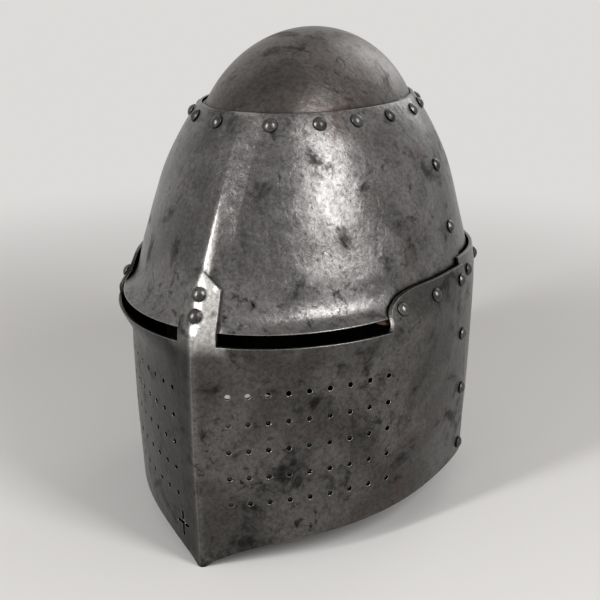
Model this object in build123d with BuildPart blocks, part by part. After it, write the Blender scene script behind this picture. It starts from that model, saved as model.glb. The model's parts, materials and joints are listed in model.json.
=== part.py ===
from build123d import *
from scipy.interpolate import PchipInterpolator
import math
import os

# A great helm of riveted steel plates, with its leather and linen lining.
# Millimetres. +Z is up, the face looks along -Y and the wearer's left is +X.
# The origin is on the ground, under the middle of the helm's box.

os.makedirs("parts", exist_ok=True)

# The helm as a whole
helm_height = 327.5
skull_half_width = 117.0
keel_reach = 175.3
back_reach = 120.5
half_depth = 149.3
widest_y = 26.0
keel_half_width = 13.3
arch_height = 27.8
back_roundness_share = 0.556

# Plates: thicker at the face and neck than over the skull, with a little room where they lap
face_gauge = 2.2
skull_gauge = 1.8
lap_gap = 0.25
face_lap = 14.0
skull_lap = 17.0
overrun = 12.0
level_step = 12.0

# Heights of the edges that the plates meet at
sight_sill = 151.9
sight_brow = 159.8
skull_foot = 150.0
skull_rim = 281.3
neck_rim = 179.6
neck_rim_back = 175.6
neck_rim_flare = 1.13
neck_tuck = 172.6
neck_tuck_lead = 2.0

# The sill ends in a slanted step up to the temple, and the brow drops behind it
sill_end_y = -73.6
temple_heel_y = -71.6
temple_corner_y = -59.0
temple_corner_height = 170.2
temple_middle_y = -34.0
temple_middle_height = 174.5
temple_top = 175.6
brow_end_y = -69.0
brow_foot_y = -65.0

# The side seams lean: the face's back towards its foot, the skull's back towards its rim
face_seam_y = 37.5
face_seam_slope_share = -0.14
skull_seam_y = 3.4
skull_seam_slope_share = 0.095
skull_seam_elbow = 240.0
skull_seam_extra_share = 0.24

# The crown dome is part of an egg-shaped ellipsoid, over a skirt that follows the skull
dome_half_width = 72.6
dome_half_depth = 112.3
dome_y = 27.5
dome_middle = 239.2
crown_skirt_foot = 262.0
crown_joint = 280.2

# The nasal bar is the middle of the face plate, carried up over the skull
nasal_base_half_width = 13.3
nasal_shoulder_half_width = 11.8
nasal_shoulder = 184.1
nasal_point = 194.6
nasal_back_y = -90.0

# Breaths: rows level with the ground, and columns stepped along the wall from the keel
breath_radius = 1.8
breath_rows = 5
breath_columns = 9
breath_top_row = 119.9
breath_row_pitch = 18.5
breath_first_step = 21.6
breath_step = 12.2
breath_step_growth = 0.35

# The cross-shaped slot low on the wearer's right, for the toggle of a guard chain
cross_x = -15.6
cross_height = 25.1
cross_arm_width = 2.2
cross_upright = 18.8
cross_bar = 12.2

# Rivets: domed heads outside, shanks through every layer and flat tails inside
head_radius = 4.4
head_height = 2.7
head_edge = 0.5
shank_radius = 2.0
hole_radius = 2.1
tail_radius = 3.1
tail_height = 1.3
seat_clearance = 0.25
tail_clearance = 0.2
tail_rays = 8
rivet_reach = 16.0
crown_rivet_height = 274.8
crown_rivet_shares = (0.066, 0.175, 0.270, 0.383, 0.510, 0.632, 0.748, 0.856, 0.954)
skull_rivet_heights = (199.5, 240.0)
skull_rivet_setback = 5.6
temple_rivet_heights = (163.5, 165.0, 166.0)
temple_rivet_ys = (-60.5, -28.6, 6.6)
face_rivet_heights = (36.6, 82.8, 125.7)
face_rivet_setback = 7.5
nasal_rivet_heights = (170.2, 182.3)
neck_rivet_height = 167.5
neck_rivet_start = 14.5
neck_rivet_pitch = 44.0
neck_rivets_a_side = 5

# Lining: a leather band inside the skull's foot, a quilted linen cap in lobes and a leather patch
band_thickness = 2.0
band_clearance = 0.35
band_foot = 155.0
band_top = 176.0
band_brow_foot = 162.8
band_brow_end_y = -80.0
band_temple_y = -63.0
lining_gap = 0.3
padding = 10.0
lobe_foot = 174.2
lobe_seam = 2.0
patch_half_width = 33.0
patch_half_depth = 52.0
patch_thickness = 1.8

# Chin straps: leather, hung inside from the top rivets of the face seams
strap_width = 18.0
strap_thickness = 2.4
strap_clearance = 0.9
strap_top = 135.0
fold_height = 78.0
folded_length = 16.0
billet_foot = 34.0
billet_point = 9.0
billet_holes = 4
billet_hole_radius = 2.0
billet_hole_pitch = 11.0
billet_first_hole = 46.0

# Buckle: a flat iron frame on a round bar, and a prong that turns on the same bar
bar_radius = 1.6
bar_fit = 0.05
frame_side_gap = 0.8
frame_bar_width = 3.2
frame_thickness = 2.6
frame_drop = 22.0
frame_corner = 6.0
prong_width = 2.6
prong_slot_gap = 0.4
prong_ring_wall = 1.5
prong_radius = 1.1
prong_gap = 0.1
prong_overhang = 1.6

# Levels of the skull's outside: shares of the helm's height, of the skull's half width, of the keel's
# reach and of the back's reach. Then the sweep of the keel's flank and the angle at which the brow
# starts from it, in degrees, and how strongly the brow and the cheek pull on the curve between them.
skull_level_shares = (
    (0.4544, 1.001, 0.972, 1.010, 25.0, 9.0, 0.50, 0.63),
    (0.4879, 1.000, 0.972, 1.011, 25.0, 9.0, 0.50, 0.63),
    (0.5182, 0.991, 0.9475, 1.013, 25.0, 27.0, 0.38, 0.58),
    (0.5588, 0.965, 0.914, 1.016, 23.5, 25.5, 0.37, 0.59),
    (0.6122, 0.9205, 0.865, 1.019, 20.0, 22.0, 0.34, 0.604),
    (0.6794, 0.866, 0.795, 1.009, 15.0, 19.0, 0.42, 0.57),
    (0.7298, 0.815, 0.7375, 0.986, 12.0, 17.5, 0.50, 0.54),
    (0.8137, 0.684, 0.635, 0.924, 8.0, 14.0, 0.443, 0.582),
    (0.8620, 0.578, 0.570, 0.868, 5.0, 11.0, 0.40, 0.60),
)

# Levels of the face plate's outside below the skull, in the same terms
face_level_shares = (
    (-0.03, 0.992, 0.977, 0.934, 26.0, 28.0, 0.388, 0.576),
    (0.122, 1.018, 0.989, 0.965, 26.0, 28.0, 0.388, 0.576),
    (0.2443, 1.034, 0.999, 0.984, 26.0, 28.0, 0.388, 0.576),
    (0.4107, 1.0415, 1.000, 1.008, 26.0, 27.0, 0.388, 0.576),
    (0.4638, 1.042, 0.992, 1.015, 26.0, 8.0, 0.35, 0.74),
)

# How much of the rim's flare the neck plate's back has at each level of the face plate and of
# the skull above it
neck_flare_shares = (0.0, 0.0, 0.0, 0.0, 0.0, 0.11, 0.25, 1.0, 1.0)

# Levels of the quilted cap's outside above the liner band, in the same terms
cap_level_shares = (
    (0.6113, 0.836, 0.800, 0.917, 14.0, 18.0, 0.40, 0.60),
    (0.7020, 0.697, 0.665, 0.851, 8.0, 12.0, 0.45, 0.58),
    (0.7878, 0.513, 0.508, 0.730, 4.0, 8.0, 0.48, 0.56),
    (0.8427, 0.308, 0.314, 0.465, 2.0, 4.0, 0.50, 0.56),
)

# The foot of the face plate and of the neck plate, seen from the side, from front to back:
# shares of the helm's half depth and of the arch's height
face_foot_shares = (
    (-0.967, 0.0),
    (-0.934, 0.23),
    (-0.867, 0.43),
    (-0.757, 0.56),
    (-0.639, 0.62),
    (-0.500, 0.70),
    (-0.337, 0.80),
    (-0.160, 0.92),
    (0.075, 1.0),
)
neck_foot_shares = ((0.22, 1.0), (0.40, 0.86), (0.60, 0.42), (0.76, 0.0))

# Where the lobes of the cap meet, in degrees round from the brow
lobe_names = ("brow", "temple", "ear", "nape")
lobe_sweep = 45.0


def levels_in_mm(level_shares):
    return [
        (h * helm_height, w * skull_half_width, k * keel_reach, b * back_reach, *curve)
        for h, w, k, b, *curve in level_shares
    ]


def grown(levels, front, side, back):
    # The same levels with their walls moved outwards, by amounts square to the wall
    return [
        (h, w + side, k + front / math.cos(math.radians(curve[0])), b + back, *curve)
        for h, w, k, b, *curve in levels
    ]


def fair(levels):
    # The levels as a smooth function of height
    curve = PchipInterpolator([level[0] for level in levels], [level[1:] for level in levels])
    return lambda height: [float(value) for value in curve(height)]


def half_plan(width, keel, back, sweep, brow, brow_pull, cheek_pull):
    # The left half of a plan section, from front to back: a straight flank at the keel,
    # a curve from the brow to the cheek and a curve round the back
    keel_y = widest_y - keel
    brow_y = keel_y + keel_half_width * math.tan(math.radians(sweep))
    brow_handle = brow_pull * (width - keel_half_width)
    brow_angle = math.radians(brow)
    flank = Edge.make_line((0, keel_y), (keel_half_width, brow_y))
    cheek = Edge.make_bezier(
        (keel_half_width, brow_y),
        (
            keel_half_width + brow_handle * math.cos(brow_angle),
            brow_y + brow_handle * math.sin(brow_angle),
        ),
        (width, widest_y - cheek_pull * (widest_y - brow_y)),
        (width, widest_y),
    )
    nape = Edge.make_bezier(
        (width, widest_y),
        (width, widest_y + back_roundness_share * back),
        (back_roundness_share * width, widest_y + back),
        (0, widest_y + back),
    )
    return flank, cheek, nape


def form(levels):
    # A closed solid through plan sections at even heights, so that its walls stay fair
    shape_at = fair(levels)
    foot, top = levels[0][0], levels[-1][0]
    steps = math.ceil((top - foot) / level_step)
    with BuildPart() as body:
        for step in range(steps + 1):
            height = foot + (top - foot) * step / steps
            with BuildSketch(Plane.XY.offset(height)):
                with BuildLine():
                    add(half_plan(*shape_at(height)))
                    mirror(about=Plane.YZ)
                make_face()
        loft()
    return body.part


# Skins: the outsides of the plates as closed solids, and linings one gauge inside them.
# Over the skull the face plate stands one layer out at the nasal bar and two at the sides,
# so that the neck plate slips between, and the rear skull plate lies one layer in.
face_layer = face_gauge + lap_gap
skull_layer = skull_gauge + lap_gap
neck_back_growth = face_layer - skull_layer
skull_levels = levels_in_mm(skull_level_shares)
face_levels = levels_in_mm(face_level_shares)
face_levels += grown(skull_levels[1:5], face_layer, 2 * face_layer, neck_back_growth)
neck_levels = []
for level, flare_share in zip(face_levels, neck_flare_shares):
    neck_levels += grown([level], -face_layer, -face_layer, flare_share * neck_rim_flare)
rear_levels = grown(skull_levels, -skull_layer, -skull_layer, -skull_layer)
skirt_levels = grown(skull_levels, -skull_layer, -2 * skull_layer, -2 * skull_layer)
band_side_growth = -skull_layer - skull_gauge - band_clearance
band_levels = grown(
    skull_levels[:6], -skull_gauge - band_clearance, band_side_growth, band_side_growth
)


def inset(levels, amount):
    return grown(levels, -amount, -amount, -amount)


# The cap starts inside the band, one gap off it
sewn_levels = inset(band_levels, band_thickness + lining_gap)
cap_levels = [(lobe_foot, *fair(sewn_levels)(lobe_foot)), *levels_in_mm(cap_level_shares)]

skull_skin = form(skull_levels)
skull_lining = form(inset(skull_levels, skull_gauge))
rear_skin = form(rear_levels)
rear_lining = form(inset(rear_levels, skull_gauge))
skirt_skin = form(skirt_levels)
skirt_lining = form(inset(skirt_levels, skull_gauge))
face_skin = form(face_levels)
face_lining = form(inset(face_levels, face_gauge))
neck_skin = form(neck_levels)
neck_lining = form(inset(neck_levels, face_gauge))
band_skin = form(band_levels)
band_lining = form(inset(band_levels, band_thickness))
cap_skin = form(cap_levels)
cap_lining = form(inset(cap_levels, padding))
nasal_seat = form(grown(face_levels, seat_clearance, seat_clearance, seat_clearance))

# Limits that trimming outlines run out to, beyond the helm on every side
side_limit = half_depth + overrun
front_limit = -half_depth - overrun
back_limit = half_depth + overrun


def face_seam(height):
    return face_seam_y + face_seam_slope_share * height


def skull_seam(height):
    # Straight up to its elbow, and leaning further back above that
    above_elbow = max(0, height - skull_seam_elbow)
    return skull_seam_y + skull_seam_slope_share * height + skull_seam_extra_share * above_elbow


def along(levels, height, distance, start=0):
    # A point at a distance along a wall's left half, and the level direction out of it.
    # The walk begins at the keel, or at a later edge of the plan section.
    wall = Wire(half_plan(*fair(levels)(height))[start:])
    point = wall.position_at(distance, position_mode=PositionMode.LENGTH)
    tangent = wall.tangent_at(distance, position_mode=PositionMode.LENGTH)
    return point + Vector(0, 0, height), tangent.cross(Vector(0, 0, 1))


def on_skin(skin, point, outward):
    # Where a line meets a skin nearest to a point on it, as a plane that faces out of the skin
    hits = skin.find_intersection_points(Axis(point - outward * rivet_reach, outward))
    spot, normal = min(hits, key=lambda hit: (hit[0] - point).length)
    return Plane(origin=spot, z_dir=normal)


def side_spot(skin, height, y):
    # The place on a skin's left side at one height and one distance fore or aft
    hits = skin.find_intersection_points(Axis((0, y, height), (1, 0, 0)))
    spot, normal = max(hits, key=lambda hit: hit[0].X)
    return Plane(origin=spot, z_dir=normal)


def keel_spot(skin, height):
    # The place on a skin's ridge at one height, facing forwards and never to one side
    hits = skin.find_intersection_points(Axis((0, widest_y, height), (0, -1, 0)))
    spot, normal = min(hits, key=lambda hit: hit[0].Y)
    return Plane(origin=(0, spot.Y, height), z_dir=(0, normal.Y, normal.Z))


def other_side(places):
    # The same places mirrored to the wearer's right
    return [
        Plane(
            origin=(-place.origin.X, place.origin.Y, place.origin.Z),
            z_dir=(-place.z_dir.X, place.z_dir.Y, place.z_dir.Z),
        )
        for place in places
    ]


def stack_depth(place, lining):
    # How far in from a rivet's seat its tail can lie flat against the innermost layer
    depths = []
    for turn in range(tail_rays):
        angle = 2 * math.pi * turn / tail_rays
        edge = place.from_local_coords((math.cos(angle) * tail_radius, math.sin(angle) * tail_radius))
        hits = lining.find_intersection_points(Axis(edge, place.z_dir))
        depths.append(min((spot - edge).length for spot, normal in hits))
    return max(depths) + tail_clearance


# Rivet places. The ring round the crown sits on the front skull plate as far back as that
# reaches, and then on the rear one.
left_crown_places = []
crown_run = Wire(half_plan(*fair(skull_levels)(crown_rivet_height))).length
for share in crown_rivet_shares:
    spot, outward = along(skull_levels, crown_rivet_height, share * crown_run)
    carrier = skull_skin if spot.Y < skull_seam(crown_rivet_height) else rear_skin
    left_crown_places.append(on_skin(carrier, spot, outward))
crown_places = left_crown_places + other_side(left_crown_places)

left_skull_places = [
    side_spot(skull_skin, height, skull_seam(height) - skull_rivet_setback)
    for height in skull_rivet_heights
]
left_temple_places = [
    side_spot(face_skin, height, y) for height, y in zip(temple_rivet_heights, temple_rivet_ys)
]
left_face_places = [
    side_spot(face_skin, height, face_seam(height) - face_rivet_setback)
    for height in face_rivet_heights
]
nasal_places = [keel_spot(face_skin, height) for height in nasal_rivet_heights]

first_neck_rivet = face_seam(neck_rivet_height) + neck_rivet_start - widest_y
left_neck_places = []
for step in range(neck_rivets_a_side):
    distance = first_neck_rivet + step * neck_rivet_pitch
    spot, outward = along(neck_levels, neck_rivet_height, distance, start=2)
    left_neck_places.append(on_skin(neck_skin, spot, outward))
neck_places = left_neck_places + other_side(left_neck_places)

skull_places = left_skull_places + other_side(left_skull_places)
temple_places = left_temple_places + other_side(left_temple_places)
back_temple_places = left_temple_places[-1:] + other_side(left_temple_places[-1:])
face_places = left_face_places + other_side(left_face_places)

left_breath_places = []
for row in range(breath_rows):
    height = breath_top_row - row * breath_row_pitch
    for column in range(breath_columns):
        growth = breath_step_growth * column * (column - 1) / 2
        distance = breath_first_step + column * breath_step + growth
        spot, outward = along(face_levels, height, distance)
        left_breath_places.append(Plane(origin=spot, z_dir=outward))
breath_places = left_breath_places + other_side(left_breath_places)


def round_holes(places, radius):
    with Locations(*places):
        Cylinder(radius, 2 * rivet_reach, mode=Mode.SUBTRACT)


def dome(inset_by):
    # The egg-shaped ellipsoid, made smaller all round by an inset
    half_sizes = (dome_half_width, dome_half_depth, helm_height - dome_middle)
    egg = scale(Solid.make_sphere(1), by=tuple(size - inset_by for size in half_sizes))
    return Pos(0, dome_y, dome_middle) * egg


def finish_piece(piece, name):
    piece.part.label = name
    export_step(piece.part, f"parts/{name}.step")


# Crown plate: the dome down to its joint, and below that a skirt inside the skull's rim
outer_dome = split(dome(0), bisect_by=Plane.XY.offset(crown_joint), keep=Keep.TOP)
inner_dome = split(
    dome(skull_gauge), bisect_by=Plane.XY.offset(crown_joint - skull_gauge), keep=Keep.TOP
)
outer_skirt = split(skirt_skin, bisect_by=Plane.XY.offset(crown_joint), keep=Keep.BOTTOM)
inner_skirt = split(
    skirt_lining, bisect_by=Plane.XY.offset(crown_joint - skull_gauge), keep=Keep.BOTTOM
)
with BuildPart() as crown_plate:
    add(outer_dome)
    add(outer_skirt)
    add(inner_dome, mode=Mode.SUBTRACT)
    add(inner_skirt, mode=Mode.SUBTRACT)
    split(bisect_by=Plane.XY.offset(crown_skirt_foot), keep=Keep.TOP)
    round_holes(crown_places, hole_radius)
finish_piece(crown_plate, "crown_plate")

# Front skull plate: its foot is the brow of both sights, and drops behind the temples
with BuildPart() as front_skull_plate:
    add(skull_skin)
    add(skull_lining, mode=Mode.SUBTRACT)
    with BuildSketch(Plane.YZ):
        with BuildLine():
            Polyline(
                (front_limit, sight_brow),
                (brow_end_y, sight_brow),
                (brow_foot_y, skull_foot),
                (skull_seam(skull_foot), skull_foot),
                (skull_seam(skull_seam_elbow), skull_seam_elbow),
                (skull_seam(skull_rim), skull_rim),
                (front_limit, skull_rim),
                close=True,
            )
        make_face()
    extrude(amount=side_limit, both=True, mode=Mode.INTERSECT)
    round_holes(crown_places + skull_places + temple_places + nasal_places, hole_radius)
finish_piece(front_skull_plate, "front_skull_plate")

# Rear skull plate: one layer in, and lapped under the front one
with BuildPart() as rear_skull_plate:
    add(rear_skin)
    add(rear_lining, mode=Mode.SUBTRACT)
    with BuildSketch(Plane.YZ):
        with BuildLine():
            Polyline(
                (skull_seam(skull_foot) - skull_lap, skull_foot),
                (back_limit, skull_foot),
                (back_limit, skull_rim),
                (skull_seam(skull_rim) - skull_lap, skull_rim),
                (skull_seam(skull_seam_elbow) - skull_lap, skull_seam_elbow),
                close=True,
            )
        make_face()
    extrude(amount=side_limit, both=True, mode=Mode.INTERSECT)
    round_holes(crown_places + skull_places + back_temple_places + neck_places, hole_radius)
finish_piece(rear_skull_plate, "rear_skull_plate")

# Face plate: keeled wall with its breaths, the sills, the temples and the nasal bar in one sheet
with BuildPart() as face_trim:
    with BuildSketch(Plane.YZ):
        face_foot = [(y * half_depth, z * arch_height) for y, z in face_foot_shares]
        with BuildLine():
            Polyline((front_limit, sight_sill), (front_limit, 0), face_foot[0])
            Spline(*face_foot)
            Polyline(
                face_foot[-1],
                (face_seam(arch_height), arch_height),
                (face_seam(temple_top), temple_top),
            )
            Spline(
                (face_seam(temple_top), temple_top),
                (temple_middle_y, temple_middle_height),
                (temple_corner_y, temple_corner_height),
                (temple_heel_y, sight_brow),
                (sill_end_y, sight_sill),
                tangents=((-1, 0), (0, -1)),
            )
            Line((sill_end_y, sight_sill), (front_limit, sight_sill))
        make_face()
    extrude(amount=side_limit, both=True)
    with BuildSketch(Plane.XZ.offset(-nasal_back_y)):
        with BuildLine():
            Polyline(
                (-nasal_base_half_width, sight_sill - overrun),
                (-nasal_base_half_width, sight_sill),
                (-nasal_shoulder_half_width, nasal_shoulder),
                (0, nasal_point),
                (nasal_shoulder_half_width, nasal_shoulder),
                (nasal_base_half_width, sight_sill),
                (nasal_base_half_width, sight_sill - overrun),
                close=True,
            )
        make_face()
    extrude(amount=side_limit)

with BuildPart() as face_plate:
    add(face_skin)
    add(face_lining, mode=Mode.SUBTRACT)
    add(face_trim.part, mode=Mode.INTERSECT)
    round_holes(temple_places + face_places + nasal_places, hole_radius)
    round_holes(breath_places, breath_radius)
    with BuildSketch(Plane.XZ.offset(-nasal_back_y)):
        with Locations((cross_x, cross_height)):
            SlotOverall(cross_bar, cross_arm_width)
            SlotOverall(cross_upright, cross_arm_width, rotation=90)
    extrude(amount=side_limit, mode=Mode.SUBTRACT)
finish_piece(face_plate, "face_plate")

# Neck plate: lapped under the face plate, where its rim drops out of sight. Behind that the rim
# is flared off the skull and falls a little towards the back.
with BuildPart() as neck_plate:
    add(neck_skin)
    add(neck_lining, mode=Mode.SUBTRACT)
    with BuildSketch(Plane.YZ):
        neck_foot = [(face_seam(arch_height) - face_lap, arch_height)]
        neck_foot += [(y * half_depth, z * arch_height) for y, z in neck_foot_shares]
        with BuildLine():
            Spline(*neck_foot, tangents=((1, 0), (1, -1)))
            Polyline(
                neck_foot[-1],
                (back_limit, 0),
                (back_limit, neck_rim_back),
                (half_depth, neck_rim_back),
                (face_seam(neck_rim), neck_rim),
                (face_seam(neck_tuck) - neck_tuck_lead, neck_tuck),
                (face_seam(neck_tuck) - face_lap, neck_tuck),
                neck_foot[0],
            )
        make_face()
    extrude(amount=side_limit, both=True, mode=Mode.INTERSECT)
    round_holes(back_temple_places + face_places + neck_places, hole_radius)
finish_piece(neck_plate, "neck_plate")

# Liner band: leather, held by the rivets of the temples, of the nose and of the neck's rim
with BuildPart() as liner_band:
    add(band_skin)
    add(band_lining, mode=Mode.SUBTRACT)
    with BuildSketch(Plane.YZ):
        with BuildLine():
            Polyline(
                (front_limit, band_brow_foot),
                (band_brow_end_y, band_brow_foot),
                (band_temple_y, band_foot),
                (back_limit, band_foot),
                (back_limit, band_top),
                (front_limit, band_top),
                close=True,
            )
        make_face()
    extrude(amount=side_limit, both=True, mode=Mode.INTERSECT)
    round_holes(temple_places + neck_places + nasal_places, hole_radius)
finish_piece(liner_band, "liner_band")

# Quilted lobes: the cap parted by seams that fan out from its middle
cap_top = cap_levels[-1][0]
for side_name, side in (("left", 1), ("right", -1)):
    for number, lobe_name in enumerate(lobe_names):
        spokes = [math.radians(lobe_sweep * (number + end)) for end in (0, 1)]
        with BuildPart() as lobe:
            add(cap_skin)
            add(cap_lining, mode=Mode.SUBTRACT)
            with BuildSketch(Plane.XY.offset(lobe_foot)):
                with BuildLine():
                    Polyline(
                        (0, widest_y),
                        *[
                            (
                                side * 2 * side_limit * math.sin(spoke),
                                widest_y - 2 * side_limit * math.cos(spoke),
                            )
                            for spoke in spokes
                        ],
                        close=True,
                    )
                make_face()
                offset(amount=-lobe_seam / 2, kind=Kind.INTERSECTION)
            extrude(amount=cap_top - lobe_foot, mode=Mode.INTERSECT)
        finish_piece(lobe, f"liner_lobe_{lobe_name}_{side_name}")

# Crown patch: leather, on the tips of the lobes
with BuildPart() as crown_patch:
    with BuildSketch(Plane.XY.offset(cap_top + lining_gap)):
        with Locations((0, widest_y)):
            Ellipse(patch_half_width, patch_half_depth)
    extrude(amount=patch_thickness)
finish_piece(crown_patch, "crown_patch")

# Chin straps follow the neck plate's inside, one gap off it
strap_y = left_face_places[-1].origin.Y
strap_front_y = strap_y - strap_width / 2


def strap_line(foot, depth):
    # Points down a strap's side view, at a depth in from its outer face
    heights = [foot + (strap_top - foot) * step / 3 for step in range(4)]
    return [
        (side_spot(neck_lining, height, strap_front_y).origin.X - strap_clearance - depth, height)
        for height in heights
    ]


strap_plane = Plane.XZ.offset(-strap_y)
fold_radius = bar_radius + bar_fit + strap_thickness
buckle_x = strap_line(fold_height, fold_radius)[0][0]
bar_place = Plane(origin=(buckle_x, strap_y, fold_height), z_dir=(0, 1, 0))
prong_slot = prong_width + 2 * prong_slot_gap

with BuildPart() as buckle_strap:
    with BuildSketch(strap_plane):
        outer_line = strap_line(fold_height, 0)
        inner_line = strap_line(fold_height, strap_thickness)
        with BuildLine():
            Spline(*outer_line)
            Line(outer_line[-1], inner_line[-1])
            Spline(*inner_line)
            Line(inner_line[0], outer_line[0])
        make_face()
        with Locations((buckle_x, fold_height)):
            Circle(fold_radius)
    extrude(amount=strap_width / 2, both=True)
    with BuildSketch(strap_plane):
        folded = strap_line(fold_height, 2 * strap_thickness)
        with BuildLine():
            Polyline(
                inner_line[0],
                (inner_line[0][0], fold_height + folded_length),
                (folded[0][0], fold_height + folded_length),
                (folded[0][0], fold_height),
                close=True,
            )
        make_face()
    extrude(amount=strap_width / 2, both=True)
    with Locations(bar_place):
        Cylinder(bar_radius + bar_fit, 2 * strap_width, mode=Mode.SUBTRACT)
        Box(4 * fold_radius, 4 * fold_radius, prong_slot, mode=Mode.SUBTRACT)
    round_holes(left_face_places, hole_radius)
finish_piece(buckle_strap, "buckle_strap")

# Billet strap: the other end of the chin strap, pointed and pierced
with BuildPart() as billet_strap:
    with BuildSketch(strap_plane):
        outer_line = [(-x, z) for x, z in strap_line(billet_foot, 0)]
        inner_line = [(-x, z) for x, z in strap_line(billet_foot, strap_thickness)]
        with BuildLine():
            Spline(*outer_line)
            Line(outer_line[-1], inner_line[-1])
            Spline(*inner_line)
            Line(inner_line[0], outer_line[0])
        make_face()
    extrude(amount=strap_width / 2, both=True)
    with BuildSketch(Plane.YZ):
        with BuildLine():
            Polyline(
                (strap_y, billet_foot),
                (strap_y + strap_width / 2, billet_foot + billet_point),
                (strap_y + strap_width / 2, strap_top),
                (strap_y - strap_width / 2, strap_top),
                (strap_y - strap_width / 2, billet_foot + billet_point),
                close=True,
            )
        make_face()
    extrude(amount=-side_limit, mode=Mode.INTERSECT)
    with BuildSketch(Plane.YZ):
        for number in range(billet_holes):
            with Locations((strap_y, billet_first_hole + number * billet_hole_pitch)):
                Circle(billet_hole_radius)
    extrude(amount=-side_limit, mode=Mode.SUBTRACT)
    round_holes(other_side(left_face_places), hole_radius)
finish_piece(billet_strap, "billet_strap")

# Buckle frame: a flat loop below a round bar that the strap folds over
frame_half_width = strap_width / 2 + frame_side_gap + frame_bar_width
frame_plane = Plane(origin=(buckle_x, strap_y, fold_height), x_dir=(0, 1, 0), z_dir=(1, 0, 0))
with BuildPart() as buckle_frame:
    with BuildSketch(frame_plane):
        with BuildLine():
            FilletPolyline(
                (-frame_half_width, bar_radius),
                (-frame_half_width, -frame_drop),
                (frame_half_width, -frame_drop),
                (frame_half_width, bar_radius),
                radius=frame_corner,
            )
            Line((frame_half_width, bar_radius), (-frame_half_width, bar_radius))
        make_face()
        with BuildLine():
            FilletPolyline(
                (-frame_half_width + frame_bar_width, bar_radius),
                (-frame_half_width + frame_bar_width, -frame_drop + frame_bar_width),
                (frame_half_width - frame_bar_width, -frame_drop + frame_bar_width),
                (frame_half_width - frame_bar_width, bar_radius),
                radius=frame_corner - frame_bar_width,
            )
            Line(
                (frame_half_width - frame_bar_width, bar_radius),
                (-frame_half_width + frame_bar_width, bar_radius),
            )
        make_face(mode=Mode.SUBTRACT)
    extrude(amount=frame_thickness / 2, both=True)
    with Locations(bar_place):
        Cylinder(bar_radius, 2 * frame_half_width)
finish_piece(buckle_frame, "buckle_frame")

# Buckle prong: a ring on the frame's bar, and a pin that rests on the frame's foot
prong_ring_radius = bar_radius + bar_fit + prong_ring_wall
prong_x = buckle_x - frame_thickness / 2 - prong_gap - prong_radius
prong_length = frame_drop + prong_overhang
with BuildPart() as buckle_prong:
    with Locations(bar_place):
        Cylinder(prong_ring_radius, prong_width)
    with Locations(Plane(origin=(prong_x, strap_y, fold_height), z_dir=(0, 0, -1))):
        Cylinder(
            prong_radius, prong_length, align=(Align.CENTER, Align.CENTER, Align.MIN)
        )
    with Locations(bar_place):
        Cylinder(bar_radius + bar_fit, 2 * prong_width, mode=Mode.SUBTRACT)
finish_piece(buckle_prong, "buckle_prong")


def rivet_head(collar=0):
    # A low dome, with a collar below it where it has to be cut to a ridge
    with BuildPart() as head:
        with BuildSketch(Plane.XZ):
            with BuildLine():
                Polyline(
                    (0, seat_clearance + head_height),
                    (0, seat_clearance - collar),
                    (head_radius, seat_clearance - collar),
                    (head_radius, seat_clearance + head_edge),
                )
                rise = head_height - head_edge
                RadiusArc(
                    (head_radius, seat_clearance + head_edge),
                    (0, seat_clearance + head_height),
                    radius=-(head_radius**2 + rise**2) / (2 * rise),
                )
            make_face()
        revolve(axis=Axis.Z)
    return head.part


def rivet_shank(depth):
    # A shank from inside the head through the stack, with a flat tail clenched on its far side
    with BuildPart() as shank:
        with BuildSketch(Plane.XZ):
            with BuildLine():
                Polyline(
                    (0, seat_clearance + head_edge),
                    (0, -depth - tail_height),
                    (tail_radius, -depth - tail_height),
                    (tail_radius, -depth),
                    (shank_radius, -depth),
                    (shank_radius, seat_clearance + head_edge),
                    close=True,
                )
            make_face()
        revolve(axis=Axis.Z)
    return shank.part


head = rivet_head()
rivet_groups = {
    "left_skull_rivets": (left_skull_places, rear_lining),
    "left_temple_rivets": (left_temple_places, band_lining),
    "left_face_rivets": (left_face_places, neck_lining),
}
for name, (places, lining) in list(rivet_groups.items()):
    rivet_groups[name.replace("left", "right")] = (other_side(places), lining)
rivet_groups["crown_rivets"] = (crown_places, skirt_lining)
rivet_groups["neck_rivets"] = (neck_places, band_lining)

for name, (places, lining) in rivet_groups.items():
    shanks = []
    for place in places:
        depth = stack_depth(place, lining)
        if place.origin.Z == face_rivet_heights[-1]:
            # The top face rivet also holds a chin strap
            wall_x = side_spot(neck_lining, place.origin.Z, strap_front_y).origin.X
            strap_x = wall_x - strap_clearance - strap_thickness
            lean = math.hypot(place.z_dir.Y, place.z_dir.Z) / abs(place.z_dir.X)
            depth = abs(place.origin.X) - strap_x + tail_radius * lean + tail_clearance
        shanks.append(rivet_shank(depth))
    with BuildPart() as group:
        for place, shank in zip(places, shanks):
            with Locations(place):
                add(head)
                add(shank)
    finish_piece(group, name)

# The nasal bar's rivets sit astride its ridge, so their heads are cut to it
ridge_fall = math.tan(math.radians(skull_level_shares[2][4]))
ridge_head = rivet_head(collar=head_radius * ridge_fall)
ridge_shanks = [
    rivet_shank(stack_depth(place, lining))
    for place, lining in zip(nasal_places, (band_lining, skull_lining))
]
with BuildPart() as nasal_rivets:
    with Locations(*nasal_places):
        add(ridge_head)
    add(nasal_seat, mode=Mode.SUBTRACT)
    for place, shank in zip(nasal_places, ridge_shanks):
        with Locations(place):
            add(shank)
finish_piece(nasal_rivets, "nasal_rivets")
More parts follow.
